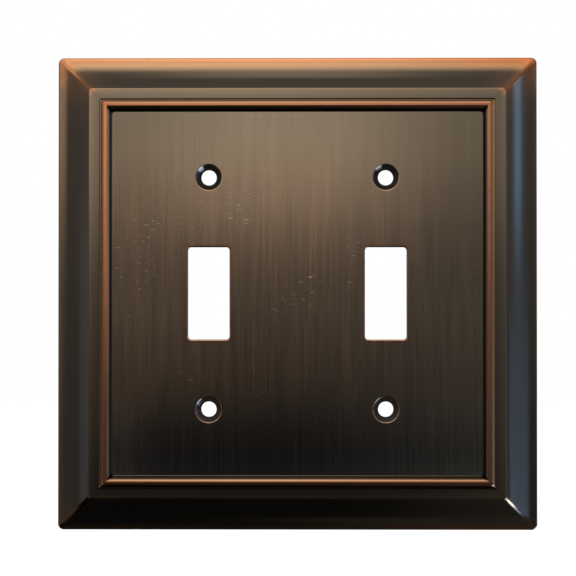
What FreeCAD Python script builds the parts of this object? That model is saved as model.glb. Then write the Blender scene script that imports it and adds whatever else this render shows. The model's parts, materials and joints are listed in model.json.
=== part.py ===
import FreeCAD, Part
import math
import os

# A two-gang toggle wall plate, die cast in zinc as one piece.
# Millimetres. The origin is the centre of the wall plane, the front faces -Y, +Z is up.
# "u" is the distance inward from the outer edge, "h" the height off the wall plane.

# Outer size
outer_width = 125.6
outer_height = 123.8
outer_corner_radius = 1.5

# Moulding, from the outer edge inward
lip_height = 1.8
lip_round = 0.4
cove_end_u = 8.5
cove_end_h = 6.75
cove_sag = 0.92
ridge_round = 0.5
step_end_u = 11.45
groove_u = 11.6
groove_depth = 0.18
crown_start_u = 12.7
crown_end_u = 13.1
crown_height = 7.2
bead_radius = 1.1
flank_slope = 60.0
panel_fillet = 0.25

# Panel and wall thickness
panel_height = 5.8
panel_thickness = 1.6
wall_thickness = 1.7
rim_width = 2.2
back_step_u = 12.7
back_step_draft = 0.5
profile_end_u = 16.0

# Standard places of two wall switches side by side
gang_spacing = 46.0375
screw_spacing = 60.325

# Toggle slots
slot_width = 10.85
slot_height = 24.0
slot_corner_radius = 0.9
slot_edge_round = 0.3

# Screw holes, countersunk for no. 6-32 oval-head plate screws
screw_hole_diameter = 4.0
countersink_diameter = 6.8
countersink_angle = 90.0
boss_diameter = 10.0
boss_height = 0.9

# Round ejector pads on the back of the panel, above and below the switches
pad_diameter = 4.0
pad_height = 0.25
pad_x = 40.0
pad_z = 38.0

# How far cutters pass through, how deep added shapes root in the panel, and how close counts as on
reach = 20.0
root = 0.5
tolerance = 0.01


def point(u, h):
    """A point of the moulding's section, drawn for the top side before it is placed."""
    return FreeCAD.Vector(0, -h, -u)


def on_circle(centre_u, centre_h, radius, lean):
    """A point on a circle in the section, at an angle in degrees from straight up towards +u."""
    angle = math.radians(lean)
    return point(centre_u + radius * math.sin(angle), centre_h + radius * math.cos(angle))


def arc(centre_u, centre_h, radius, start, end):
    """An arc in the section between two angles in degrees from straight up towards +u."""
    middle = (start + end) / 2
    return Part.Arc(*[on_circle(centre_u, centre_h, radius, a) for a in (start, middle, end)])


def cove_circle():
    """Centre and radius of the cove's hollow arc, from its two ends and its sag."""
    du = cove_end_u - lip_round
    dh = cove_end_h - lip_height
    chord = math.hypot(du, dh)
    radius = (chord ** 2 / 4 + cove_sag ** 2) / (2 * cove_sag)
    offset = radius - cove_sag
    centre_u = (lip_round + cove_end_u) / 2 - offset * dh / chord
    centre_h = (lip_height + cove_end_h) / 2 + offset * du / chord
    return centre_u, centre_h, radius


def step_level():
    """Where the ridge's rounding ends, and the height of the flat step."""
    cu, ch, _ = cove_circle()
    slope = math.atan2(cove_end_u - cu, ch - cove_end_h)
    return (
        cove_end_u + ridge_round * math.sin(slope),
        cove_end_h + ridge_round * (1 - math.cos(slope)),
        math.degrees(slope),
    )


def lip_and_cove():
    """The section's line from the wall up the lip and over the hollow cove."""
    cu, ch, radius = cove_circle()
    middle_u = (lip_round + cove_end_u) / 2
    middle_h = ch - math.sqrt(radius ** 2 - (middle_u - cu) ** 2)
    cove = Part.Arc(
        point(lip_round, lip_height),
        point(middle_u, middle_h),
        point(cove_end_u, cove_end_h),
    )
    return [
        Part.LineSegment(point(0, 0), point(0, lip_height - lip_round)),
        arc(lip_round, lip_height - lip_round, lip_round, -90, 0),
        cove,
    ]


def ridge_and_step():
    """The section's line over the ridge's rounding and the flat step, down to the groove."""
    ridge_u, step_height, slope = step_level()
    return [
        arc(ridge_u, step_height - ridge_round, ridge_round, -slope, 0),
        Part.LineSegment(point(ridge_u, step_height), point(step_end_u, step_height)),
        Part.LineSegment(
            point(step_end_u, step_height),
            point(groove_u, step_height - groove_depth),
        ),
    ]


def bead_and_panel():
    """The section's line over the bead, down its straight flank and along the panel."""
    groove_h = step_level()[1] - groove_depth
    centre_h = crown_height - bead_radius
    start_lean = -math.degrees(math.acos((groove_h - centre_h) / bead_radius))
    start_u = crown_start_u + bead_radius * math.sin(math.radians(start_lean))
    drop = crown_height - panel_height
    turned = (bead_radius + panel_fillet) * (1 - math.cos(math.radians(flank_slope)))
    run = (drop - turned) / math.tan(math.radians(flank_slope))
    turn_width = (bead_radius + panel_fillet) * math.sin(math.radians(flank_slope))
    panel_u = crown_end_u + turn_width + run
    fillet_h = panel_height + panel_fillet
    return [
        Part.LineSegment(point(groove_u, groove_h), point(start_u, groove_h)),
        arc(crown_start_u, centre_h, bead_radius, start_lean, 0),
        Part.LineSegment(point(crown_start_u, crown_height), point(crown_end_u, crown_height)),
        arc(crown_end_u, centre_h, bead_radius, 0, flank_slope),
        Part.LineSegment(
            on_circle(crown_end_u, centre_h, bead_radius, flank_slope),
            on_circle(panel_u, fillet_h, panel_fillet, flank_slope - 180),
        ),
        arc(panel_u, fillet_h, panel_fillet, flank_slope - 180, -180),
        Part.LineSegment(point(panel_u, panel_height), point(profile_end_u, panel_height)),
    ]


def back_edges():
    """The section's rear line, which follows the front at the wall's thickness."""
    cu, ch, cove_radius = cove_circle()
    radius = cove_radius + wall_thickness
    ceiling = step_level()[1] - wall_thickness
    back = panel_height - panel_thickness
    foot_h = ch - math.sqrt(radius ** 2 - (rim_width - cu) ** 2)
    top_u = cu + math.sqrt(radius ** 2 - (ch - ceiling) ** 2)
    mid_u = (rim_width + top_u) / 2
    mid_h = ch - math.sqrt(radius ** 2 - (mid_u - cu) ** 2)
    inner_u = back_step_u + back_step_draft
    return [
        Part.LineSegment(point(profile_end_u, panel_height), point(profile_end_u, back)),
        Part.LineSegment(point(profile_end_u, back), point(inner_u, back)),
        Part.LineSegment(point(inner_u, back), point(back_step_u, ceiling)),
        Part.LineSegment(point(back_step_u, ceiling), point(top_u, ceiling)),
        Part.Arc(point(top_u, ceiling), point(mid_u, mid_h), point(rim_width, foot_h)),
        Part.LineSegment(point(rim_width, foot_h), point(rim_width, 0)),
        Part.LineSegment(point(rim_width, 0), point(0, 0)),
    ]


def section():
    """The closed section of the moulding."""
    curves = lip_and_cove() + ridge_and_step() + bead_and_panel() + back_edges()
    return Part.Face(Part.Wire([curve.toShape() for curve in curves]))


def side(length, half_depth):
    """One mitred side of the moulding, along X, at the top of the plate."""
    face = section()
    face.translate(FreeCAD.Vector(-length / 2, 0, half_depth))
    bar = face.extrude(FreeCAD.Vector(length, 0, 0))
    corners = [
        (-length / 2, half_depth),
        (length / 2, half_depth),
        (length / 2 - reach, half_depth - reach),
        (reach - length / 2, half_depth - reach),
    ]
    points = [FreeCAD.Vector(x, reach, z) for x, z in corners]
    mitre = Part.Face(Part.makePolygon(points + points[:1]))
    return bar.common(mitre.extrude(FreeCAD.Vector(0, -2 * reach, 0)))


def moulding():
    """The four mitred sides as one ring."""
    sides = []
    for turn in range(4):
        across = turn % 2
        length = outer_height if across else outer_width
        half_depth = (outer_width if across else outer_height) / 2
        piece = side(length, half_depth)
        piece.rotate(FreeCAD.Vector(0, 0, 0), FreeCAD.Vector(0, 1, 0), 90 * turn)
        sides.append(piece)
    return sides[0].fuse(sides[1:])


def rounded_block(width, height, radius, y_front, y_back):
    """A block with its four long edges rounded, centred on the Y axis."""
    block = Part.makeBox(
        width,
        y_back - y_front,
        height,
        FreeCAD.Vector(-width / 2, y_front, -height / 2),
    )
    edges = [
        edge
        for edge in block.Edges
        if abs(edge.Vertexes[0].Y - edge.Vertexes[1].Y) > radius
    ]
    return block.makeFillet(radius, edges)


def cylinder(x, z, radius, y_front, y_back):
    """A cylinder along Y."""
    return Part.makeCylinder(
        radius,
        y_back - y_front,
        FreeCAD.Vector(x, y_front, z),
        FreeCAD.Vector(0, 1, 0),
    )


def screw_places():
    """Centres of the four screw holes."""
    return [
        (x * gang_spacing / 2, z * screw_spacing / 2)
        for x in (-1, 1)
        for z in (-1, 1)
    ]


def pad_places():
    """Centres of the ejector pads, clear of the bosses and of the switches' straps."""
    return [(x * pad_x, z * pad_z) for x in (-1, 0, 1) for z in (-1, 1)]


def screw_cutter(x, z):
    """A countersunk hole, open to the front."""
    hole_radius = screw_hole_diameter / 2
    sink_radius = countersink_diameter / 2
    depth = (sink_radius - hole_radius) / math.tan(math.radians(countersink_angle / 2))
    cone = Part.makeCone(
        sink_radius,
        hole_radius,
        depth,
        FreeCAD.Vector(x, -panel_height, z),
        FreeCAD.Vector(0, 1, 0),
    )
    return cone.fuse(
        [
            cylinder(x, z, hole_radius, -panel_height, reach),
            cylinder(x, z, sink_radius, -reach, -panel_height),
        ]
    )


def slot_cutter(x):
    """A toggle slot, open to both faces."""
    cutter = rounded_block(slot_width, slot_height, slot_corner_radius, -reach, reach)
    cutter.translate(FreeCAD.Vector(x, 0, 0))
    return cutter


def slot_front_edges(plate):
    """The edges of the toggle slots on the panel's front."""
    found = []
    for edge in plate.Edges:
        box = edge.BoundBox
        on_front = max(abs(box.YMin + panel_height), abs(box.YMax + panel_height)) < tolerance
        beside = abs(abs(box.Center.x) - gang_spacing / 2) < slot_width / 2 + tolerance
        level = abs(box.Center.z) < slot_height / 2 + tolerance
        if on_front and beside and level:
            found.append(edge)
    return found


def cover_plate():
    """The whole casting."""
    back = panel_height - panel_thickness
    inner = 2 * (profile_end_u - root)
    panel = Part.makeBox(
        outer_width - inner,
        panel_thickness,
        outer_height - inner,
        FreeCAD.Vector((inner - outer_width) / 2, -panel_height, (inner - outer_height) / 2),
    )
    bosses = [
        cylinder(x, z, boss_diameter / 2, root - panel_height, boss_height - back)
        for x, z in screw_places()
    ]
    pads = [
        cylinder(x, z, pad_diameter / 2, root - panel_height, pad_height - back)
        for x, z in pad_places()
    ]
    plate = moulding().fuse([panel] + bosses + pads)
    trim = rounded_block(outer_width, outer_height, outer_corner_radius, -reach, reach)
    plate = plate.common(trim)
    cutters = [screw_cutter(x, z) for x, z in screw_places()]
    cutters += [slot_cutter(x * gang_spacing / 2) for x in (-1, 1)]
    plate = plate.cut(cutters).removeSplitter()
    return plate.makeFillet(slot_edge_round, slot_front_edges(plate))


os.makedirs("parts", exist_ok=True)
plate = cover_plate()
solid = plate.Solids[0]
print("solids", len(plate.Solids), "valid", solid.isValid())
print("volume_cm3", round(solid.Volume / 1000, 3))
print("size_mm", solid.BoundBox.XLength, solid.BoundBox.YLength, solid.BoundBox.ZLength)
solid.exportStep("parts/cover_plate.step")
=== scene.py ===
import json
import math

import bmesh
import bpy
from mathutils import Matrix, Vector


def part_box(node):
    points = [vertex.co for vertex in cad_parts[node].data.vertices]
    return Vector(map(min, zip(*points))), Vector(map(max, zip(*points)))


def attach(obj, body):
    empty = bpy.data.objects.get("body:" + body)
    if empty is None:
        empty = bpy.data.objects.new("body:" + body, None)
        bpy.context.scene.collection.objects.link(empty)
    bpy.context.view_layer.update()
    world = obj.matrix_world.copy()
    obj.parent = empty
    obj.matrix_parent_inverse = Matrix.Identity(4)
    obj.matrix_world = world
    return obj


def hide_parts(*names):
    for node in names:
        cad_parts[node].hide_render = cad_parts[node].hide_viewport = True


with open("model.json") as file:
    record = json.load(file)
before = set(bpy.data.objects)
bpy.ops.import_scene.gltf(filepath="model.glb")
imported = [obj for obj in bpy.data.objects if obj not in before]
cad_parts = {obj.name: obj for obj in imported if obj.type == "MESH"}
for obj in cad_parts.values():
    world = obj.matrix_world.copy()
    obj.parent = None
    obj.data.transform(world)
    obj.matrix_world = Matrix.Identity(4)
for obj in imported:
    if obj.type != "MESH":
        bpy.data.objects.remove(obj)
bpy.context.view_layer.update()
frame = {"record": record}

# The frame gives the plate's outer size and the places and size of its screw holes.
low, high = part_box("cover_plate")
MM = 0.001
WIDTH = high.x - low.x
HEIGHT = high.z - low.z
record = frame["record"]
screws = next(m for m in record["mounts"] if m["name"] == "screw_holes")
GANG = screws["dims"]["spacing_x_mm"] * MM
SCREW_SPACING = screws["dims"]["spacing_y_mm"] * MM
HOLE_RADIUS = screws["dims"]["hole_r_mm"] * MM

# The moulding's section, as in the CAD model: u inward from the outer edge, h off the wall.
LIP_HEIGHT = 1.8 * MM
LIP_ROUND = 0.4 * MM
COVE_END_U = 8.5 * MM
COVE_END_H = 6.75 * MM
COVE_SAG = 0.92 * MM
RIDGE_ROUND = 0.5 * MM
STEP_END_U = 11.45 * MM
GROOVE_U = 11.6 * MM
GROOVE_DEPTH = 0.18 * MM
CROWN_START_U = 12.7 * MM
CROWN_END_U = 13.1 * MM
CROWN_H = 7.2 * MM
BEAD_RADIUS = 1.1 * MM
FLANK_SLOPE = math.radians(60.0)
PANEL_FILLET = 0.25 * MM
PANEL_H = 5.8 * MM
PANEL_BACK_H = 4.2 * MM
WALL = 1.7 * MM
RIM = 2.2 * MM
BACK_STEP_U = 12.7 * MM
BACK_STEP_DRAFT = 0.5 * MM

SLOT_WIDTH = 10.85 * MM
SLOT_HEIGHT = 24.0 * MM
SLOT_CORNER = 0.9 * MM
SLOT_ROUND = 0.3 * MM
SINK_RADIUS = 3.4 * MM
SINK_ROUND = 0.3 * MM
BOSS_RADIUS = 5.0 * MM
BOSS_H = 3.3 * MM
PAD_RADIUS = 2.0 * MM
PAD_H = 3.95 * MM
PAD_X = 40.0 * MM
PAD_Z = 38.0 * MM

# Small rounds that the CAD model leaves sharp, and the extra loops that keep shading crisp.
# The step's round stops short of the groove, at an angle in radians from the u axis.
STEP_ROUND = 0.08 * MM
STEP_ROUND_END = 0.3
GROOVE_CUT_U = 0.03 * MM
GROOVE_CUT_H = 0.02 * MM
GROOVE_TOE = 0.01 * MM
BACK_ROUND = 0.15 * MM
HOLD = 0.06 * MM
HOLE_HOLD = 0.08 * MM
CORNER_HOLD = 0.35 * MM
CORNER_HOLD_FAR = 1.6 * MM
SLOT_APRON = 0.25 * MM
SLOT_BACK_ROUND = 0.12 * MM
SLOT_BACK_HOLD = 0.2 * MM
SLOT_BACK_HOLD_FAR = 0.4 * MM

QUARTER = math.pi / 2
CORNER_STEPS = 8
CIRCLE_STEPS = 64
SLOT_ROUND_STEPS = 5

# How round the plan's corners are, at distances in from the outer edge.
CORNER_RADII = [
    (0.0, 1.5 * MM),
    (0.4 * MM, 1.2 * MM),
    (2.0 * MM, 0.8 * MM),
    (8.9 * MM, 0.9 * MM),
    (11.45 * MM, 0.8 * MM),
    (12.8 * MM, 0.45 * MM),
    (14.6 * MM, 0.12 * MM),
    (16.0 * MM, 0.12 * MM),
]

# The mesh's material slots, in the order that build_plate fills them.
FRONT, PANEL, EDGE, SINK, BACK = range(5)


def read_off(pairs, place):
    """The value at a place, from (place, value) pairs joined by straight lines."""
    for (a, first), (b, second) in zip(pairs, pairs[1:]):
        if place <= b:
            return first + (second - first) * max(0.0, place - a) / (b - a)
    return pairs[-1][1]


def arc(centre_u, centre_h, radius, start, end, steps):
    """Points of an arc in the section, with angles in radians from the u axis."""
    return [
        (
            centre_u + radius * math.cos(start + (end - start) * i / steps),
            centre_h + radius * math.sin(start + (end - start) * i / steps),
        )
        for i in range(steps + 1)
    ]


def cove_circle():
    """Centre and radius of the cove's hollow arc."""
    du = COVE_END_U - LIP_ROUND
    dh = COVE_END_H - LIP_HEIGHT
    chord = math.hypot(du, dh)
    radius = (chord ** 2 / 4 + COVE_SAG ** 2) / (2 * COVE_SAG)
    offset = radius - COVE_SAG
    return (
        (LIP_ROUND + COVE_END_U) / 2 - offset * dh / chord,
        (LIP_HEIGHT + COVE_END_H) / 2 + offset * du / chord,
        radius,
    )


def step_level():
    """Where the ridge's rounding ends, the height of the flat step, and the cove's slope there."""
    cu, ch, _ = cove_circle()
    slope = math.atan2(COVE_END_U - cu, ch - COVE_END_H)
    ridge_u = COVE_END_U + RIDGE_ROUND * math.sin(slope)
    step_h = COVE_END_H + RIDGE_ROUND * (1 - math.cos(slope))
    return ridge_u, step_h, slope


def lip_and_cove():
    """The front line from the wall, up the lip and over the hollow cove."""
    cu, ch, radius = cove_circle()
    start = math.atan2(LIP_HEIGHT - ch, LIP_ROUND - cu)
    end = math.atan2(COVE_END_H - ch, COVE_END_U - cu)
    points = [(HOLD * 2, 0.0), (0.0, HOLD * 2), (0.0, LIP_HEIGHT - LIP_ROUND - HOLD)]
    points += arc(LIP_ROUND, LIP_HEIGHT - LIP_ROUND, LIP_ROUND, 2 * QUARTER, QUARTER, steps=6)
    points += arc(cu, ch, radius, start, end, steps=28)[1:]
    return points


def ridge_and_groove():
    """The front line over the ridge and the flat step, down into the groove."""
    ridge_u, step_h, slope = step_level()
    groove_h = step_h - GROOVE_DEPTH
    points = arc(ridge_u, step_h - RIDGE_ROUND, RIDGE_ROUND, QUARTER + slope, QUARTER, steps=8)[1:]
    points += [(ridge_u + HOLD * 2, step_h), (STEP_END_U - STEP_ROUND - HOLD, step_h)]
    points += arc(
        STEP_END_U - STEP_ROUND, step_h - STEP_ROUND, STEP_ROUND, QUARTER, STEP_ROUND_END, steps=4
    )
    points.append((GROOVE_U - GROOVE_CUT_U, groove_h + GROOVE_CUT_H))
    points.append((GROOVE_U + GROOVE_TOE, groove_h))
    return points


def bead_and_flank():
    """The front line over the bead and down its flank to the panel."""
    groove_h = step_level()[1] - GROOVE_DEPTH
    centre_h = CROWN_H - BEAD_RADIUS
    start = QUARTER + math.acos((groove_h - centre_h) / BEAD_RADIUS)
    points = arc(CROWN_START_U, centre_h, BEAD_RADIUS, start, QUARTER, steps=12)
    points += arc(CROWN_END_U, centre_h, BEAD_RADIUS, QUARTER, QUARTER - FLANK_SLOPE, steps=11)
    both = BEAD_RADIUS + PANEL_FILLET
    run = (CROWN_H - PANEL_H - both * (1 - math.cos(FLANK_SLOPE))) / math.tan(FLANK_SLOPE)
    panel_u = CROWN_END_U + both * math.sin(FLANK_SLOPE) + run
    centre_h = PANEL_H + PANEL_FILLET
    fillet = arc(panel_u, centre_h, PANEL_FILLET, -QUARTER - FLANK_SLOPE, -QUARTER, steps=7)
    last, first = points[-1], fillet[0]
    for share in (0.12, 0.5, 0.88):
        points.append(tuple(a + (b - a) * share for a, b in zip(last, first)))
    return points + fillet + [(panel_u + HOLD * 2, PANEL_H)]


def back_section():
    """The rear line from the wall rim, under the cove and the step, to the panel's back."""
    cu, ch, radius = cove_circle()
    radius += WALL
    ceiling = step_level()[1] - WALL
    start = -math.acos((RIM - cu) / radius)
    end = -math.asin((ch - ceiling) / radius)
    inner_u = BACK_STEP_U + BACK_STEP_DRAFT
    edge = BACK_ROUND
    points = [(RIM - edge, 0.0), (RIM, edge)]
    points += arc(cu, ch, radius, start, end, steps=16)
    points += [(points[-1][0] + edge, ceiling), (BACK_STEP_U - edge, ceiling)]
    points += [(BACK_STEP_U, ceiling - edge), (inner_u, PANEL_BACK_H + edge)]
    points += [(inner_u + edge, PANEL_BACK_H), (inner_u + 2 * edge, PANEL_BACK_H)]
    return points


def rounded_outline(half_x, half_z, radius):
    """Points round a rectangle with rounded corners, with holding points beside each corner."""
    points = []
    for quadrant in range(4):
        angle = quadrant * QUARTER
        sx, sz = [(1, 1), (-1, 1), (-1, -1), (1, -1)][quadrant]
        centre = Vector((sx * (half_x - radius), sz * (half_z - radius)))
        before = Vector((math.sin(angle), -math.cos(angle)))
        after = Vector((-math.cos(angle), -math.sin(angle)))
        first = centre + radius * Vector((math.cos(angle), math.sin(angle)))
        last = centre + radius * Vector((-math.sin(angle), math.cos(angle)))
        points += [first + before * CORNER_HOLD_FAR, first + before * CORNER_HOLD]
        for step in range(CORNER_STEPS + 1):
            turn = angle + QUARTER * step / CORNER_STEPS
            points.append(centre + radius * Vector((math.cos(turn), math.sin(turn))))
        points += [last + after * CORNER_HOLD, last + after * CORNER_HOLD_FAR]
    return points


def circle_outline(x, z, radius):
    """Points round a circle."""
    return [
        Vector((x + radius * math.cos(a), z + radius * math.sin(a)))
        for a in (2 * math.pi * i / CIRCLE_STEPS for i in range(CIRCLE_STEPS))
    ]


def add_loop(bm, outline, h):
    """A closed loop of vertices at one height off the wall."""
    return [bm.verts.new((p.x, -h, p.y)) for p in outline]


def loop_maker(bm, outline_at):
    """A function from a station (offset, height) to its loop, which it makes only once."""
    made = {}

    def loop(station):
        if station not in made:
            offset, h = station
            made[station] = add_loop(bm, outline_at(offset), h)
        return made[station]

    return loop


def bridge(bm, loops, zone):
    """Quads between loops that follow each other."""
    for a, b in zip(loops, loops[1:]):
        for i in range(len(a)):
            j = (i + 1) % len(a)
            face = bm.faces.new((a[i], a[j], b[j], b[i]))
            face.material_index = zone


def loop_edges(bm, loop):
    """The edges of a closed loop, made where they are missing."""
    found = []
    for i, vert in enumerate(loop):
        other = loop[(i + 1) % len(loop)]
        edge = bm.edges.get((vert, other))
        found.append(edge if edge else bm.edges.new((vert, other)))
    return found


def fill_flat(bm, loops, zone):
    """Fills the flat ground between an outer loop and the loops of its holes."""
    edges = [edge for loop in loops for edge in loop_edges(bm, loop)]
    made = bmesh.ops.triangle_fill(bm, use_beauty=True, use_dissolve=False, edges=edges)
    for item in made["geom"]:
        if isinstance(item, bmesh.types.BMFace):
            item.material_index = zone


def sink_stations():
    """A countersink's stations (radius, height): the panel round it, its rim and its cone."""
    edge = HOLE_HOLD
    depth = SINK_RADIUS - HOLE_RADIUS
    rim_radius = SINK_RADIUS + SINK_ROUND * math.tan(QUARTER / 4)
    rim = arc(rim_radius, PANEL_H - SINK_ROUND, SINK_ROUND, QUARTER, QUARTER * 3 / 2, steps=5)
    front = [(rim_radius + 4 * edge, PANEL_H), (rim_radius + edge, PANEL_H), rim[0]]
    cone = [rim[-1]]
    for share in (0.1, 0.4, 0.7):
        drop = share * (depth - edge)
        cone.append((rim[-1][0] - drop, rim[-1][1] - drop))
    cone += [
        (HOLE_RADIUS + edge, PANEL_H - depth + edge),
        (HOLE_RADIUS, PANEL_H - depth - edge),
        (HOLE_RADIUS, PANEL_H - depth - 3 * edge),
        (HOLE_RADIUS, BOSS_H + 2 * edge),
    ]
    return front, rim, cone


def boss_stations():
    """A boss's stations (radius, height), from inside the screw hole to the panel's back."""
    edge = HOLE_HOLD
    return [
        (HOLE_RADIUS, BOSS_H + 2 * edge),
        (HOLE_RADIUS + 2 * edge, BOSS_H),
        (HOLE_RADIUS + 4 * edge, BOSS_H),
        (BOSS_RADIUS - 4 * edge, BOSS_H),
        (BOSS_RADIUS - 2 * edge, BOSS_H),
        (BOSS_RADIUS, BOSS_H + 2 * edge),
        (BOSS_RADIUS + edge, PANEL_BACK_H - 2 * edge),
        (BOSS_RADIUS + 3 * edge, PANEL_BACK_H),
        (BOSS_RADIUS + 5 * edge, PANEL_BACK_H),
    ]


def screw_loops(bm, x, z):
    """A countersunk hole with its boss: returns its loops on the panel's front and back."""
    front, rim, cone = sink_stations()
    boss = boss_stations()
    loop = loop_maker(bm, lambda radius: circle_outline(x, z, radius))
    bridge(bm, [loop(s) for s in front], PANEL)
    bridge(bm, [loop(s) for s in rim], EDGE)
    bridge(bm, [loop(s) for s in cone], SINK)
    bridge(bm, [loop(s) for s in boss], BACK)
    return loop(front[0]), loop(boss[-1])


def slot_loops(bm, x):
    """A toggle slot with rounded edges: returns its loops on the panel's front and back."""
    r = SLOT_ROUND
    turns = [QUARTER * i / SLOT_ROUND_STEPS for i in range(SLOT_ROUND_STEPS + 1)]
    rim = [(r - r * math.sin(t), PANEL_H - r + r * math.cos(t)) for t in turns]
    front = [(r + SLOT_APRON, PANEL_H), (r + HOLD, PANEL_H), rim[0]]
    rim.append((0.0, PANEL_H - r - HOLE_HOLD))
    wall = [rim[-1], (0.0, PANEL_BACK_H + SLOT_BACK_HOLD), (0.0, PANEL_BACK_H + SLOT_BACK_ROUND)]
    wall += [(SLOT_BACK_ROUND, PANEL_BACK_H), (SLOT_BACK_HOLD_FAR, PANEL_BACK_H)]

    def outline(grow):
        rounded = rounded_outline(SLOT_WIDTH / 2 + grow, SLOT_HEIGHT / 2 + grow, SLOT_CORNER + grow)
        return [p + Vector((x, 0)) for p in rounded]

    loop = loop_maker(bm, outline)
    bridge(bm, [loop(s) for s in front], PANEL)
    bridge(bm, [loop(s) for s in rim], EDGE)
    bridge(bm, [loop(s) for s in wall], BACK)
    return loop(front[0]), loop(wall[-1])


def pad_loop(bm, x, z):
    """A round ejector pad on the back: returns its loop on the panel's back."""
    edge = HOLE_HOLD
    stations = [
        (PAD_RADIUS - 6 * edge, PAD_H),
        (PAD_RADIUS - edge, PAD_H),
        (PAD_RADIUS, PAD_H + edge),
        (PAD_RADIUS + edge, PANEL_BACK_H),
        (PAD_RADIUS + 3 * edge, PANEL_BACK_H),
    ]
    loops = [add_loop(bm, circle_outline(x, z, r), h) for r, h in stations]
    bridge(bm, loops, BACK)
    fill_flat(bm, [loops[0]], BACK)
    return loops[-1]


def border_rings(bm, section):
    """One loop round the whole plate for each point of a section."""
    rings = []
    for u, h in section:
        radius = read_off(CORNER_RADII, u)
        rings.append(add_loop(bm, rounded_outline(WIDTH / 2 - u, HEIGHT / 2 - u, radius), h))
    return rings


def all_holes(bm):
    """The slots, screw holes and pads: returns their loops on the panel's front and back."""
    pairs = []
    for sx in (-1, 1):
        pairs.append(slot_loops(bm, sx * GANG / 2))
        for sz in (-1, 1):
            pairs.append(screw_loops(bm, sx * GANG / 2, sz * SCREW_SPACING / 2))
    front, back = (list(side) for side in zip(*pairs))
    for sx in (-1, 0, 1):
        for sz in (-1, 1):
            back.append(pad_loop(bm, sx * PAD_X, sz * PAD_Z))
    return front, back


def plate_mesh():
    """The whole casting as one closed mesh, with a flat map that gives the brushing its way."""
    bm = bmesh.new()
    front_rings = border_rings(bm, lip_and_cove() + ridge_and_groove() + bead_and_flank())
    back_rings = border_rings(bm, back_section())
    bridge(bm, front_rings, FRONT)
    bridge(bm, [front_rings[0]] + back_rings, BACK)
    front_holes, back_holes = all_holes(bm)
    fill_flat(bm, [front_rings[-1]] + front_holes, PANEL)
    fill_flat(bm, [back_rings[-1]] + back_holes, BACK)
    bmesh.ops.recalc_face_normals(bm, faces=bm.faces)
    for face in bm.faces:
        face.smooth = True
    mesh = bpy.data.meshes.new("cover_plate_finish")
    bm.to_mesh(mesh)
    bm.free()
    uv = mesh.uv_layers.new(name="brush")
    for loop in mesh.loops:
        co = mesh.vertices[loop.vertex_index].co
        uv.data[loop.index].uv = (0.5 + co.x / WIDTH, 0.5 + co.z / WIDTH)
    return mesh


# The width of border that the stops of a depth ramp are shares of.
SPAN = 16.0 * MM


class Tree:
    """A short way to write a node tree."""

    def __init__(self, tree):
        self.tree = tree

    def add(self, kind, **settings):
        node = self.tree.nodes.new(kind)
        for key, value in settings.items():
            setattr(node, key, value)
        return node

    def link(self, source, target):
        self.tree.links.new(source, target)

    def fill(self, sockets, values):
        """Links each value to its socket, or sets it there if it is a number or a colour."""
        for socket, value in zip(sockets, values):
            if isinstance(value, tuple):
                socket.default_value = (*value, 1.0)
            elif isinstance(value, (int, float)):
                socket.default_value = value
            else:
                self.link(value, socket)

    def math(self, operation, *values):
        node = self.add("ShaderNodeMath", operation=operation)
        self.fill(node.inputs, values)
        return node.outputs[0]

    def most(self, first, *others):
        """The largest of the values."""
        for other in others:
            first = self.math("MAXIMUM", first, other)
        return first

    def times(self, first, *others):
        """The product of all the values."""
        for other in others:
            first = self.math("MULTIPLY", first, other)
        return first

    def without(self, share):
        """What is left of one after a share is taken."""
        return self.math("SUBTRACT", 1.0, share)

    def swing(self, noise, amount):
        """A noise moved to swing evenly about zero, by half the amount each way."""
        return self.math("MULTIPLY", self.math("SUBTRACT", noise, 0.5), amount)

    def split(self, vector):
        node = self.add("ShaderNodeSeparateXYZ")
        self.link(vector, node.inputs[0])
        return node.outputs

    def ramp(self, source, stops):
        """A value or colour read off (place, value) stops."""
        node = self.add("ShaderNodeValToRGB")
        while len(node.color_ramp.elements) < len(stops):
            node.color_ramp.elements.new(1.0)
        for element, (place, value) in zip(node.color_ramp.elements, stops):
            element.position = place
            colour = value if isinstance(value, tuple) else (value, value, value)
            element.color = (*colour, 1.0)
        self.link(source, node.inputs[0])
        return node.outputs[0]

    def ramp_over(self, source, reach, stops):
        """A ramp whose stops are shares of a reach."""
        return self.ramp(self.math("DIVIDE", source, reach), stops)

    def mix(self, factor, a, b, blend="MIX"):
        node = self.add("ShaderNodeMix", data_type="RGBA", blend_type=blend)
        self.fill((node.inputs[0], node.inputs[6], node.inputs[7]), (factor, a, b))
        return node.outputs[2]

    def grey(self, value):
        node = self.add("ShaderNodeCombineColor")
        for socket in node.inputs[:3]:
            self.link(value, socket)
        return node.outputs[0]

    def noise(self, vector, scale, detail=3.0, rough=0.55):
        node = self.add("ShaderNodeTexNoise")
        node.inputs["Scale"].default_value = scale
        node.inputs["Detail"].default_value = detail
        node.inputs["Roughness"].default_value = rough
        self.link(vector, node.inputs["Vector"])
        return node.outputs["Fac"]


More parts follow.
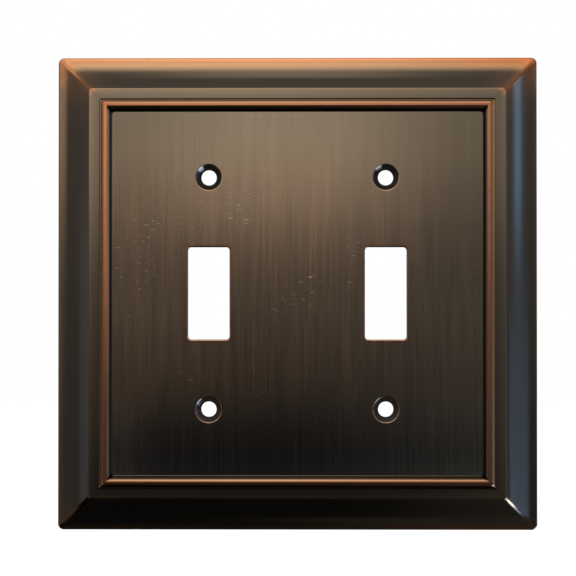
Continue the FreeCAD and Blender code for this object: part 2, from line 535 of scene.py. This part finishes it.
class Finish(Tree):
    """A metal's material and its node tree."""

    def __init__(self, name, metallic=1.0):
        self.material = bpy.data.materials.new(name)
        self.material.use_nodes = True
        super().__init__(self.material.node_tree)
        self.shader = self.tree.nodes["Principled BSDF"]
        self.shader.inputs["Metallic"].default_value = metallic
        self.vector = self.add("ShaderNodeTexCoord").outputs["Object"]

    def stretched(self, across, upwards):
        """Object coordinates scaled apart, for noise drawn out up or across the plate."""
        node = self.add("ShaderNodeMapping")
        node.inputs["Scale"].default_value = (across, 1.0, upwards)
        self.link(self.vector, node.inputs["Vector"])
        return node.outputs["Vector"]

    def bump(self, height, strength, distance):
        node = self.add("ShaderNodeBump")
        node.inputs["Strength"].default_value = strength
        node.inputs["Distance"].default_value = distance
        self.link(height, node.inputs["Height"])
        self.link(node.outputs["Normal"], self.shader.inputs["Normal"])

    def roughness(self, base, *parts):
        """Roughness from a base and (value, amount) parts."""
        total = base
        for value, amount in parts:
            total = self.math("ADD", total, self.math("MULTIPLY", value, amount))
        self.link(total, self.shader.inputs["Roughness"])

    def base_colour(self, colour, shade=None):
        """The metal's colour, darkened by a shade where one is given."""
        if shade is not None:
            colour = self.mix(1.0, colour, self.grey(shade), "MULTIPLY")
        self.link(colour, self.shader.inputs["Base Color"])


class Place:
    """Where a point lies on the plate: x and z in metres, and shares of its width and height."""

    def __init__(self, tree):
        self.x, _, self.z = tree.split(tree.vector)
        self.lean = tree.math("MULTIPLY_ADD", self.x, 1 / WIDTH, 0.5)
        self.height = tree.math("MULTIPLY_ADD", self.z, 1 / HEIGHT, 0.5)
        self.fall = tree.math("MULTIPLY_ADD", self.z, -1 / HEIGHT, 0.5)


class BorderPlace(Place):
    """Where a point lies on the border too: how deep in, how far off the mitres, on which side."""

    def __init__(self, tree):
        super().__init__(tree)
        self.tree = tree
        self.across = tree.math("SUBTRACT", WIDTH / 2, tree.math("ABSOLUTE", self.x))
        self.down = tree.math("SUBTRACT", HEIGHT / 2, tree.math("ABSOLUTE", self.z))
        self.depth = tree.math("DIVIDE", tree.math("MINIMUM", self.across, self.down), SPAN)
        self.mitre = tree.math("ABSOLUTE", tree.math("SUBTRACT", self.across, self.down))
        self.side = tree.math("GREATER_THAN", self.down, self.across)
        left = tree.times(self.side, tree.math("LESS_THAN", self.x, 0.0))
        self.right = tree.math("SUBTRACT", self.side, left)
        self.upper_left = tree.times(left, tree.ramp(self.height, [(0.28, 0.0), (0.55, 1.0)]))

    def at_depth(self, pairs):
        """A value read off (millimetres in from the outer edge, value) pairs."""
        return self.tree.ramp(self.depth, [(depth * MM / SPAN, value) for depth, value in pairs])


WHITE = (1.0, 1.0, 1.0)
BRONZE = (0.24, 0.182, 0.118)
COPPER = (0.8, 0.335, 0.142)
# Painted highlight on the upper left bead's inner flank, in bright copper.
COPPER_PAINTED_SHEEN = (1.0, 0.46, 0.2)
RUSSET = (0.45, 0.17, 0.08)
# The left bead's russet copper, lightened by a painted highlight.
RUSSET_PAINTED_SHEEN = (0.64, 0.25, 0.113)
SLOT_RUSSET = (0.32, 0.13, 0.07)
REDDENING = (0.92, 0.72, 0.58)
# Painted reflection of warm light on the right bead's outer flank.
TAN_PAINTED_REFLECTION = (0.84, 0.43, 0.18)
PALE = (0.85, 0.7, 0.5)
# Painted shade: the dim grey that the panel's foot takes on.
FOOT_SHADE_GREY = (0.235, 0.21, 0.175)

# The finish from sound lacquer, through rubbed bronze and dull copper, to bright copper.
WEAR_COLOURS = [
    (0.0, BRONZE),
    (0.12, (0.3, 0.2, 0.124)),
    (0.3, (0.43, 0.245, 0.13)),
    (0.5, (0.54, 0.285, 0.145)),
    (0.75, (0.56, 0.25, 0.11)),
    (0.92, COPPER),
]
EDGE_COLOURS = [(0.35, (0.48, 0.24, 0.13)), (0.65, (0.62, 0.4, 0.25))]
SINK_COLOURS = [(0.3, (0.1, 0.084, 0.07)), (0.7, (0.17, 0.145, 0.12))]
BACK_COLOURS = [(0.35, (0.10, 0.075, 0.055)), (0.65, (0.20, 0.15, 0.105))]

# How wear fades inward from an outer edge, over the reach of that edge.
EDGE_FADE = [
    (0.0, 1.0),
    (0.13, 1.0),
    (0.18, 0.75),
    (0.3, 0.55),
    (0.42, 0.48),
    (0.52, 0.3),
    (0.63, 0.13),
    (0.74, 0.04),
    (1.0, 0.0),
]

# Wear on the ridge and the bead, at millimetres in from the outer edge.
BEAD_WEAR = [
    (8.35, 0.0),
    (8.7, 0.16),
    (9.2, 0.05),
    (9.8, 0.0),
    (11.55, 0.0),
    (11.75, 0.3),
    (12.2, 0.5),
    (13.3, 0.5),
    (13.9, 0.35),
    (14.4, 0.0),
]

# How light dirt and painted shade together leave the border, at millimetres in from the outer edge.
BORDER_GRIME_AND_SHADE = [
    (8.4, 1.0),
    (8.9, 0.84),
    (9.8, 0.8),
    (10.8, 0.68),
    (11.3, 0.66),
    (11.6, 0.8),
    (11.75, 0.95),
    (13.8, 0.95),
    (14.3, 0.55),
    (14.6, 0.5),
    (14.9, 0.8),
    (15.3, 1.0),
]

# How light the panel is from the top of the plate down, at shares of its height. These values
# hold patina and painted shade together.
PANEL_TONE_AND_SHADE = [
    (0.2, 0.86),
    (0.28, 0.8),
    (0.36, 0.8),
    (0.42, 0.9),
    (0.53, 1.0),
    (0.6, 0.92),
    (0.72, 0.72),
    (0.8, 0.52),
    (0.84, 0.49),
    (0.875, 0.68),
]
PANEL_GAIN = 1.25

# And from left to right, patina and painted shade again: in the panel's upper part, its lower part, and
# along its foot.
UPPER_PATINA_AND_SHADE = [(0.17, 0.73), (0.4, 0.99), (0.6, 0.96), (0.83, 0.62)]
LOWER_PATINA_AND_SHADE = [(0.17, 1.0), (0.4, 0.89), (0.6, 0.88), (0.83, 0.8)]
FOOT_PATINA_AND_SHADE = [(0.12, 0.93), (0.2, 0.52), (0.5, 0.48), (0.6, 0.57), (0.75, 0.76), (0.87, 0.86)]
FOOT_GAIN = 1.5


def edge_wear(tree, spot, wobble):
    """How far the finish is worn along each outer edge: widest on top, where it is rubbed most."""
    sides = [
        (spot.z, -1, HEIGHT, 5.0 * MM, 1.0),
        (spot.z, 1, HEIGHT, 2.5 * MM, 0.6),
        (spot.x, 1, WIDTH, 3.4 * MM, 0.32),
        (spot.x, -1, WIDTH, 2.0 * MM, 0.1),
    ]
    total = 0.0
    for position, sign, size, reach, strength in sides:
        depth = tree.math("MULTIPLY_ADD", position, sign, size / 2)
        faded = tree.ramp_over(tree.math("ADD", depth, wobble), reach, EDGE_FADE)
        total = tree.most(tree.times(faded, strength), total)
    return total


def bead_wear(tree, spot):
    """Wear on the ridge and the bead, strongest near the left edge."""
    return tree.times(spot.at_depth(BEAD_WEAR), tree.ramp(spot.lean, [(0.1, 1.7), (0.14, 1.0)]))


def mitre_wear(tree, spot):
    """Wear along the mitres of the cove, stronger higher up."""
    band = tree.ramp_over(spot.mitre, 9.0 * MM, [(0.0, 1.0), (0.2, 0.22), (1.0, 0.0)])
    cove = spot.at_depth([(8.8, 1.0), (9.8, 0.0)])
    return tree.times(band, cove, tree.ramp(spot.height, [(0.1, 0.25), (0.75, 1.0)]))


def corner_wear(tree, spot):
    """Wear at the upper ends of the side coves, most of the right one spared, and on both tips."""
    near = tree.ramp_over(spot.mitre, 14.0 * MM, [(0.0, 0.45), (0.5, 0.25), (1.0, 0.0)])
    upper = tree.ramp(spot.height, [(0.8, 0.0), (0.95, 1.0)])
    cove = spot.at_depth([(7.0, 1.0), (9.0, 0.0)])
    spared = tree.times(spot.right, spot.at_depth([(2.8, 0.0), (4.2, 0.85)]))
    corner = tree.times(near, spot.side, upper, cove, tree.without(spared))
    tip = tree.ramp_over(tree.math("ADD", spot.across, spot.down), 14.0 * MM, [(0.3, 0.85), (0.8, 0.0)])
    tip = tree.times(tip, tree.ramp(spot.height, [(0.8, 0.0), (0.9, 1.0)]))
    return tree.most(corner, tip)


def border_colour(tree, spot, rubbed, edge, left_flank_sheen):
    """The border's metal: its wear, redder on the bead's crown, left bead and right outer edge, with a
    painted highlight on the upper left bead and a painted reflection on the right bead's outer flank.
    """
    crown = spot.at_depth([(12.3, 0.0), (12.65, 0.85), (13.25, 0.85), (13.5, 0.0)])
    left_bead_sheen = spot.at_depth([(12.2, 0.0), (12.6, 1.0), (13.95, 1.0), (14.15, 0.0)])
    right_flank_reflection = spot.at_depth([(11.6, 0.0), (11.8, 1.0), (12.15, 1.0), (12.5, 0.0)])
    colour = tree.mix(crown, tree.ramp(rubbed, WEAR_COLOURS), RUSSET)
    # Painted highlights lighten the upper left bead and its inner flank towards copper.
    colour = tree.mix(tree.times(left_bead_sheen, spot.upper_left), colour, RUSSET_PAINTED_SHEEN)
    colour = tree.mix(left_flank_sheen, colour, COPPER_PAINTED_SHEEN)
    # Painted reflection: the right bead's outer flank turns tan.
    colour = tree.mix(tree.times(right_flank_reflection, spot.right), colour, TAN_PAINTED_REFLECTION)
    rightmost = tree.ramp(spot.lean, [(0.7, 0.0), (0.95, 1.6)])
    redder = tree.times(tree.math("MINIMUM", edge, 0.6), rightmost)
    return tree.mix(redder, colour, REDDENING, "MULTIPLY")


def border_grime_and_shade(tree, spot):
    """What lightness dirt and painted shade leave: less on the step, in the groove, at the bead's foot,
    in nooks and on the lower left mitre.
    """
    # Painted shade in the inner corners of the bead's flank.
    nook_shade = tree.ramp_over(spot.mitre, MM, [(0.1, 0.0), (0.8, 1.0)])
    nook_shade = tree.most(nook_shade, spot.at_depth([(13.3, 1.0), (13.7, 0.0)]))
    # Painted shade darkens the groove along the top and bottom, most along the bottom.
    groove = spot.at_depth([(11.15, 0.0), (11.35, 1.0), (11.85, 1.0), (12.3, 0.0)])
    groove_shade = tree.times(tree.ramp(spot.height, [(0.4, 0.95), (0.6, 0.38)]), tree.without(spot.side))
    groove_lightness = tree.without(tree.times(groove, groove_shade))
    # Painted shade darkens the lower left mitre of the cove.
    lower_left_mitre_shade = tree.ramp_over(spot.mitre, 2.0 * MM, [(0.2, 0.8), (0.5, 0.0)])
    low = tree.ramp(spot.height, [(0.2, 1.0), (0.3, 0.0)])
    leftmost = tree.ramp(spot.lean, [(0.2, 1.0), (0.3, 0.0)])
    cove = spot.at_depth([(7.5, 1.0), (8.6, 0.0)])
    mitre_unshaded = tree.without(tree.times(lower_left_mitre_shade, low, leftmost, cove))
    return tree.times(spot.at_depth(BORDER_GRIME_AND_SHADE), nook_shade, groove_lightness, mitre_unshaded)


def moulding_material():
    """Dark bronze with copper rubbed through on the outer edge, ridge, mitres and bead, and painted
    highlights and shade on parts of the bead, groove and mitres.
    """
    tree = Finish("bronze_moulding")
    spot = BorderPlace(tree)
    coarse = tree.noise(tree.vector, 700.0, 3.0)
    fine = tree.noise(tree.vector, 5200.0, 2.0)
    edge = edge_wear(tree, spot, tree.swing(coarse, 0.9 * MM))
    wear = tree.most(edge, bead_wear(tree, spot), mitre_wear(tree, spot), corner_wear(tree, spot))
    speckle = tree.math("ADD", tree.swing(fine, 0.7), tree.swing(coarse, 0.6))
    rubbed = tree.math("MINIMUM", tree.times(wear, tree.math("ADD", 1.0, speckle)), 1.0)
    # The upper left bead's inner flank, which takes a painted highlight and more roughness.
    inner = spot.at_depth([(13.2, 0.0), (13.4, 1.0), (13.95, 1.0), (14.15, 0.0)])
    left_flank_sheen = tree.times(inner, spot.upper_left)
    tree.base_colour(border_colour(tree, spot, rubbed, edge, left_flank_sheen), border_grime_and_shade(tree, spot))
    tree.roughness(0.16, (fine, 0.05), (left_flank_sheen, 0.16), (wear, 0.07))
    tree.bump(tree.noise(tree.vector, 1800.0, 3.0), 0.1, 0.02 * MM)
    return tree.material


def panel_patina_and_shade(tree, spot):
    """How light patina and painted shade leave the panel, by height and from left to right."""
    upper = tree.ramp(spot.lean, UPPER_PATINA_AND_SHADE)
    lower = tree.ramp(spot.lean, LOWER_PATINA_AND_SHADE)
    patina_and_shade = tree.mix(tree.ramp(spot.fall, [(0.3, 0.0), (0.55, 1.0)]), upper, lower)
    deep = tree.ramp(spot.fall, [(0.67, 0.0), (0.79, 1.0)])
    foot = tree.mix(deep, WHITE, tree.times(tree.ramp(spot.lean, FOOT_PATINA_AND_SHADE), FOOT_GAIN))
    return tree.times(patina_and_shade, foot, tree.ramp(spot.fall, PANEL_TONE_AND_SHADE), PANEL_GAIN)


def panel_brushing(tree, spot, streaks, broad):
    """How the brushing lightens and darkens the panel about one, more strongly further down."""
    grain = tree.noise(tree.vector, 3800.0, 2.0)
    swing = tree.math("ADD", tree.swing(streaks, 1.2), tree.swing(broad, 0.5))
    swing = tree.math("ADD", swing, tree.swing(grain, 1.5))
    streaky = tree.ramp(spot.fall, [(0.15, 0.3), (0.35, 0.55), (0.6, 1.0)])
    return tree.math("MULTIPLY_ADD", swing, streaky, 1.0)


def panel_marks(tree, spot):
    """Short pale scratches across the brushing, in clusters below the panel's top."""
    scratch = tree.noise(tree.stretched(420.0, 3000.0), 1.0, 2.0)
    cluster = tree.ramp(tree.noise(tree.vector, 60.0, 1.0), [(0.54, 0.0), (0.62, 1.0)])
    cluster = tree.times(cluster, tree.ramp(spot.fall, [(0.22, 0.0), (0.34, 1.0)]))
    return tree.times(tree.ramp(scratch, [(0.645, 0.0), (0.7, 0.75)]), cluster)


def slot_halo(tree, spot):
    """The dull copper halo that wear leaves round each slot."""
    from_middle = tree.math("SUBTRACT", tree.math("ABSOLUTE", spot.x), GANG / 2)
    aside = tree.math("SUBTRACT", tree.math("ABSOLUTE", from_middle), SLOT_WIDTH / 2)
    above = tree.math("SUBTRACT", tree.math("ABSOLUTE", spot.z), SLOT_HEIGHT / 2)
    fade = [(0.0, 0.9), (0.3, 0.8), (0.45, 0.2), (1.0, 0.0)]
    halo = tree.ramp_over(tree.most(aside, above), 2.0 * MM, fade)
    return tree.times(halo, tree.ramp(tree.noise(tree.vector, 500.0, 3.0), [(0.35, 0.3), (0.6, 1.0)]))


def panel_material():
    """Vertically brushed bronze: even at the top, more streaked and warmer further down, with painted
    shade by height and across that darkens and greys its foot.
    """
    tree = Finish("bronze_brushed_panel")
    spot = Place(tree)
    streaks = tree.noise(tree.stretched(2600.0, 34.0), 1.0, 4.0, 0.6)
    broad = tree.noise(tree.stretched(420.0, 22.0), 1.0, 3.0)
    warm = tree.ramp(spot.fall, [(0.14, 0.0), (0.24, 0.06), (0.34, 0.11)])
    warm = tree.times(warm, tree.ramp(spot.lean, [(0.55, 1.0), (0.8, 0.3)]))
    warm = tree.times(warm, tree.math("ADD", 0.2, tree.times(broad, 1.6)))
    colour = tree.mix(panel_marks(tree, spot), tree.mix(warm, BRONZE, COPPER), PALE)
    colour = tree.mix(slot_halo(tree, spot), colour, SLOT_RUSSET)
    # Painted shade greys the panel's foot.
    colour = tree.mix(tree.ramp(spot.fall, [(0.7, 0.0), (0.84, 0.75)]), colour, FOOT_SHADE_GREY)
    brushing = panel_brushing(tree, spot, streaks, broad)
    # The panel's lightness: brushing, patina and painted shade together.
    tree.base_colour(colour, tree.times(brushing, panel_patina_and_shade(tree, spot)))
    tree.roughness(0.19, (streaks, 0.05))
    tree.shader.inputs["Anisotropic"].default_value = 0.8
    tangent = tree.add("ShaderNodeTangent", direction_type="UV_MAP", uv_map="brush")
    tree.link(tangent.outputs[0], tree.shader.inputs["Tangent"])
    tree.bump(streaks, 0.02, 0.01 * MM)
    return tree.material


def edge_material():
    """Copper worn bare on the rounded edges of slots and countersinks."""
    tree = Finish("worn_copper_edge")
    mottle = tree.noise(tree.vector, 1600.0, 3.0)
    tree.base_colour(tree.ramp(mottle, EDGE_COLOURS))
    tree.roughness(0.2, (mottle, 0.1))
    return tree.material


def sink_material():
    """Thick dark lacquer in the countersinks."""
    tree = Finish("countersink_patina", metallic=0.7)
    mottle = tree.noise(tree.vector, 3000.0, 2.0)
    tree.base_colour(tree.ramp(mottle, SINK_COLOURS))
    tree.roughness(0.12, (mottle, 0.1))
    return tree.material


def back_material():
    """The unpolished back: dark plating over cast zinc."""
    tree = Finish("cast_back")
    grain = tree.noise(tree.vector, 1500.0, 4.0)
    cloud = tree.noise(tree.vector, 90.0, 3.0)
    mottle = tree.math("ADD", tree.times(grain, 0.4), tree.times(cloud, 0.6))
    tree.base_colour(tree.ramp(mottle, BACK_COLOURS))
    tree.roughness(0.38, (grain, 0.2))
    tree.bump(grain, 0.35, 0.04 * MM)
    return tree.material


def build_plate():
    """The finished plate, standing for the CAD node."""
    mesh = plate_mesh()
    for make in (moulding_material, panel_material, edge_material, sink_material, back_material):
        mesh.materials.append(make())
    plate = bpy.data.objects.new("cover_plate_finish", mesh)
    bpy.context.scene.collection.objects.link(plate)
    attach(plate, "root")
    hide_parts("cover_plate")


LIGHT_DISTANCE = 1.5

# A light's watts per square metre at a strength of one.
ENERGY_PER_AREA = 4.0
KEY_WHITE = (1.0, 0.99, 0.98)
LAMP_WHITE = (1.0, 0.97, 0.93)

# Each light's name, the directions it spans in degrees (azimuth 0 is straight in front of the
# plate and 90 at its right; elevation is up from level), its colour and its strength.
LIGHTS = [
    ("key", (-18.0, 13.0), (4.0, 58.0), KEY_WHITE, 0.66),
    ("key_core", (-13.0, 3.0), (3.8, 56.0), KEY_WHITE, 0.3),
    ("key_top", (-16.0, 10.0), (58.0, 78.0), (1.0, 0.98, 0.96), 0.36),
    ("key_left", (-48.0, -18.0), (5.0, 50.0), (1.0, 0.95, 0.9), 0.42),
    ("key_right", (13.0, 25.0), (5.0, 50.0), (1.0, 0.97, 0.95), 0.55),
    ("key_right_low", (13.0, 24.0), (-9.0, 5.0), (1.0, 0.93, 0.86), 0.17),
    ("fill_left", (-34.0, -8.0), (-6.0, 1.0), (1.0, 0.85, 0.7), 0.1),
    ("fill_right", (7.5, 16.0), (-10.0, 0.0), (0.8, 0.95, 1.0), 0.1),
    ("far_left", (-114.0, -84.0), (-16.0, 4.0), (0.5, 0.62, 1.0), 0.09),
    ("window_side", (66.0, 84.0), (3.4, 13.0), (0.15, 0.43, 1.0), 0.8),
    ("window_side_wide", (58.0, 93.0), (3.4, 13.0), (0.15, 0.4, 1.0), 0.28),
    ("window_right", (45.0, 105.0), (-32.0, -1.0), (0.2, 0.42, 1.0), 0.27),
    ("window_right_low", (48.0, 100.0), (-30.0, -8.0), (0.3, 0.5, 1.0), 0.2),
    ("window_low", (62.0, 93.0), (-60.0, -30.0), (0.46, 0.68, 1.0), 6.5),
    ("window_low_side", (40.0, 62.0), (-54.0, -34.0), (0.16, 0.38, 1.0), 2.4),
    ("floor_right", (30.0, 150.0), (-84.5, -50.0), (0.82, 0.92, 1.0), 0.032),
    ("low_right", (5.0, 55.0), (-57.0, -17.0), (0.84, 0.93, 1.0), 0.044),
    ("low_left", (-68.0, -29.0), (-36.0, -12.0), LAMP_WHITE, 0.2),
    ("back", (130.0, 230.0), (15.0, 60.0), LAMP_WHITE, 1.0),
]


def direction(azimuth, elevation):
    """The unit vector towards an azimuth and elevation in radians."""
    return Vector((
        math.sin(azimuth) * math.cos(elevation),
        -math.cos(azimuth) * math.cos(elevation),
        math.sin(elevation),
    ))


def softbox(name, azimuths, elevations, colour, strength):
    """A rectangular light that spans a range of directions as seen from the plate."""
    azimuth, elevation = (math.radians(sum(pair) / 2) for pair in (azimuths, elevations))
    half_turn, half_lift = (math.radians(b - a) / 2 for a, b in (azimuths, elevations))
    towards = direction(azimuth, elevation)
    data = bpy.data.lights.new(name, "AREA")
    data.shape = "RECTANGLE"
    data.size = 2 * LIGHT_DISTANCE * math.tan(half_turn) * math.cos(elevation)
    data.size_y = 2 * LIGHT_DISTANCE * math.tan(half_lift)
    data.color = colour
    data.energy = strength * data.size * data.size_y * ENERGY_PER_AREA
    light = bpy.data.objects.new(name, data)
    light.location = towards * LIGHT_DISTANCE
    light.rotation_euler = (-towards).to_track_quat("-Z", "Y").to_euler()
    bpy.context.scene.collection.objects.link(light)
    light.visible_camera = False


# What the plate reflects between the lights, from straight below to straight above.
ROOM_COLOURS = [
    (0.36, (0.01, 0.011, 0.013)),
    (0.44, (0.016, 0.019, 0.025)),
    (0.47, (0.05, 0.06, 0.08)),
    (0.5, (0.095, 0.11, 0.14)),
    (0.545, (0.1, 0.12, 0.16)),
    (0.59, (0.17, 0.176, 0.205)),
    (1.0, (0.21, 0.22, 0.25)),
]

# How much higher up ROOM_COLOURS the room's left and right sides read than its middle.
SIDE_RAISE = 0.1


def build_world():
    """White behind the object, and a dim cool room all round for reflections."""
    world = bpy.data.worlds.new("studio")
    bpy.context.scene.world = world
    world.use_nodes = True
    world.node_tree.nodes.clear()
    tree = Tree(world.node_tree)
    x, _, z = tree.split(tree.add("ShaderNodeTexCoord").outputs["Generated"])
    raised = tree.math("MULTIPLY_ADD", tree.times(x, x), SIDE_RAISE, z)
    height = tree.math("MULTIPLY_ADD", raised, 0.5, 0.5)
    room = tree.add("ShaderNodeBackground")
    tree.link(tree.ramp(height, ROOM_COLOURS), room.inputs["Color"])
    white = tree.add("ShaderNodeBackground")
    white.inputs["Color"].default_value = (*WHITE, 1.0)
    mix = tree.add("ShaderNodeMixShader")
    seen = tree.add("ShaderNodeLightPath").outputs["Is Camera Ray"]
    tree.fill(mix.inputs, (seen, room.outputs[0], white.outputs[0]))
    tree.link(mix.outputs[0], tree.add("ShaderNodeOutputWorld").inputs["Surface"])


FLOOR_REACH = 1.2
FLOOR_DROP = 0.04
FLOOR_GREY = (0.2, 0.2, 0.2)
FLOOR_ROUGHNESS = 0.9
FLOOR_GLOW = 0.93


def floor_material():
    """A matt floor that glows almost white, like a lit studio sweep."""
    material = bpy.data.materials.new("pale_floor")
    material.use_nodes = True
    shader = material.node_tree.nodes["Principled BSDF"]
    shader.inputs["Base Color"].default_value = (*FLOOR_GREY, 1.0)
    shader.inputs["Roughness"].default_value = FLOOR_ROUGHNESS
    shader.inputs["Emission Color"].default_value = (*WHITE, 1.0)
    shader.inputs["Emission Strength"].default_value = FLOOR_GLOW
    return material


def build_floor():
    """A plain pale floor below the plate, kept out of its reflections."""
    z = low.z - FLOOR_DROP
    turns = ((-1, -1), (1, -1), (1, 1), (-1, 1))
    corners = [(sx * FLOOR_REACH, sy * FLOOR_REACH, z) for sx, sy in turns]
    mesh = bpy.data.meshes.new("floor")
    mesh.from_pydata(corners, [], [(0, 1, 2, 3)])
    mesh.materials.append(floor_material())
    floor = bpy.data.objects.new("floor", mesh)
    bpy.context.scene.collection.objects.link(floor)
    floor.visible_glossy = False
    floor.visible_diffuse = False


CAMERA_DISTANCE = 0.4
CAMERA_TURN = math.radians(0.5)
CAMERA_LIFT = math.radians(-0.57)
CAMERA_SENSOR = 36.0
CAMERA_LENS = 96.3
CAMERA_SHIFT = (-0.016, 0.0092)


def build_camera():
    """A view nearly square on, a little from the lower right."""
    back = direction(CAMERA_TURN, CAMERA_LIFT)
    data = bpy.data.cameras.new("camera")
    data.sensor_width = CAMERA_SENSOR
    data.lens = CAMERA_LENS
    data.shift_x, data.shift_y = CAMERA_SHIFT
    camera = bpy.data.objects.new("camera", data)
    camera.location = Vector((0.0, -PANEL_H, 0.0)) + back * CAMERA_DISTANCE
    camera.rotation_euler = (-back).to_track_quat("-Z", "Y").to_euler()
    bpy.context.scene.collection.objects.link(camera)
    bpy.context.scene.camera = camera


build_plate()
for light in LIGHTS:
    softbox(*light)
build_world()
build_floor()
build_camera()
bpy.context.scene.view_settings.view_transform = "Standard"
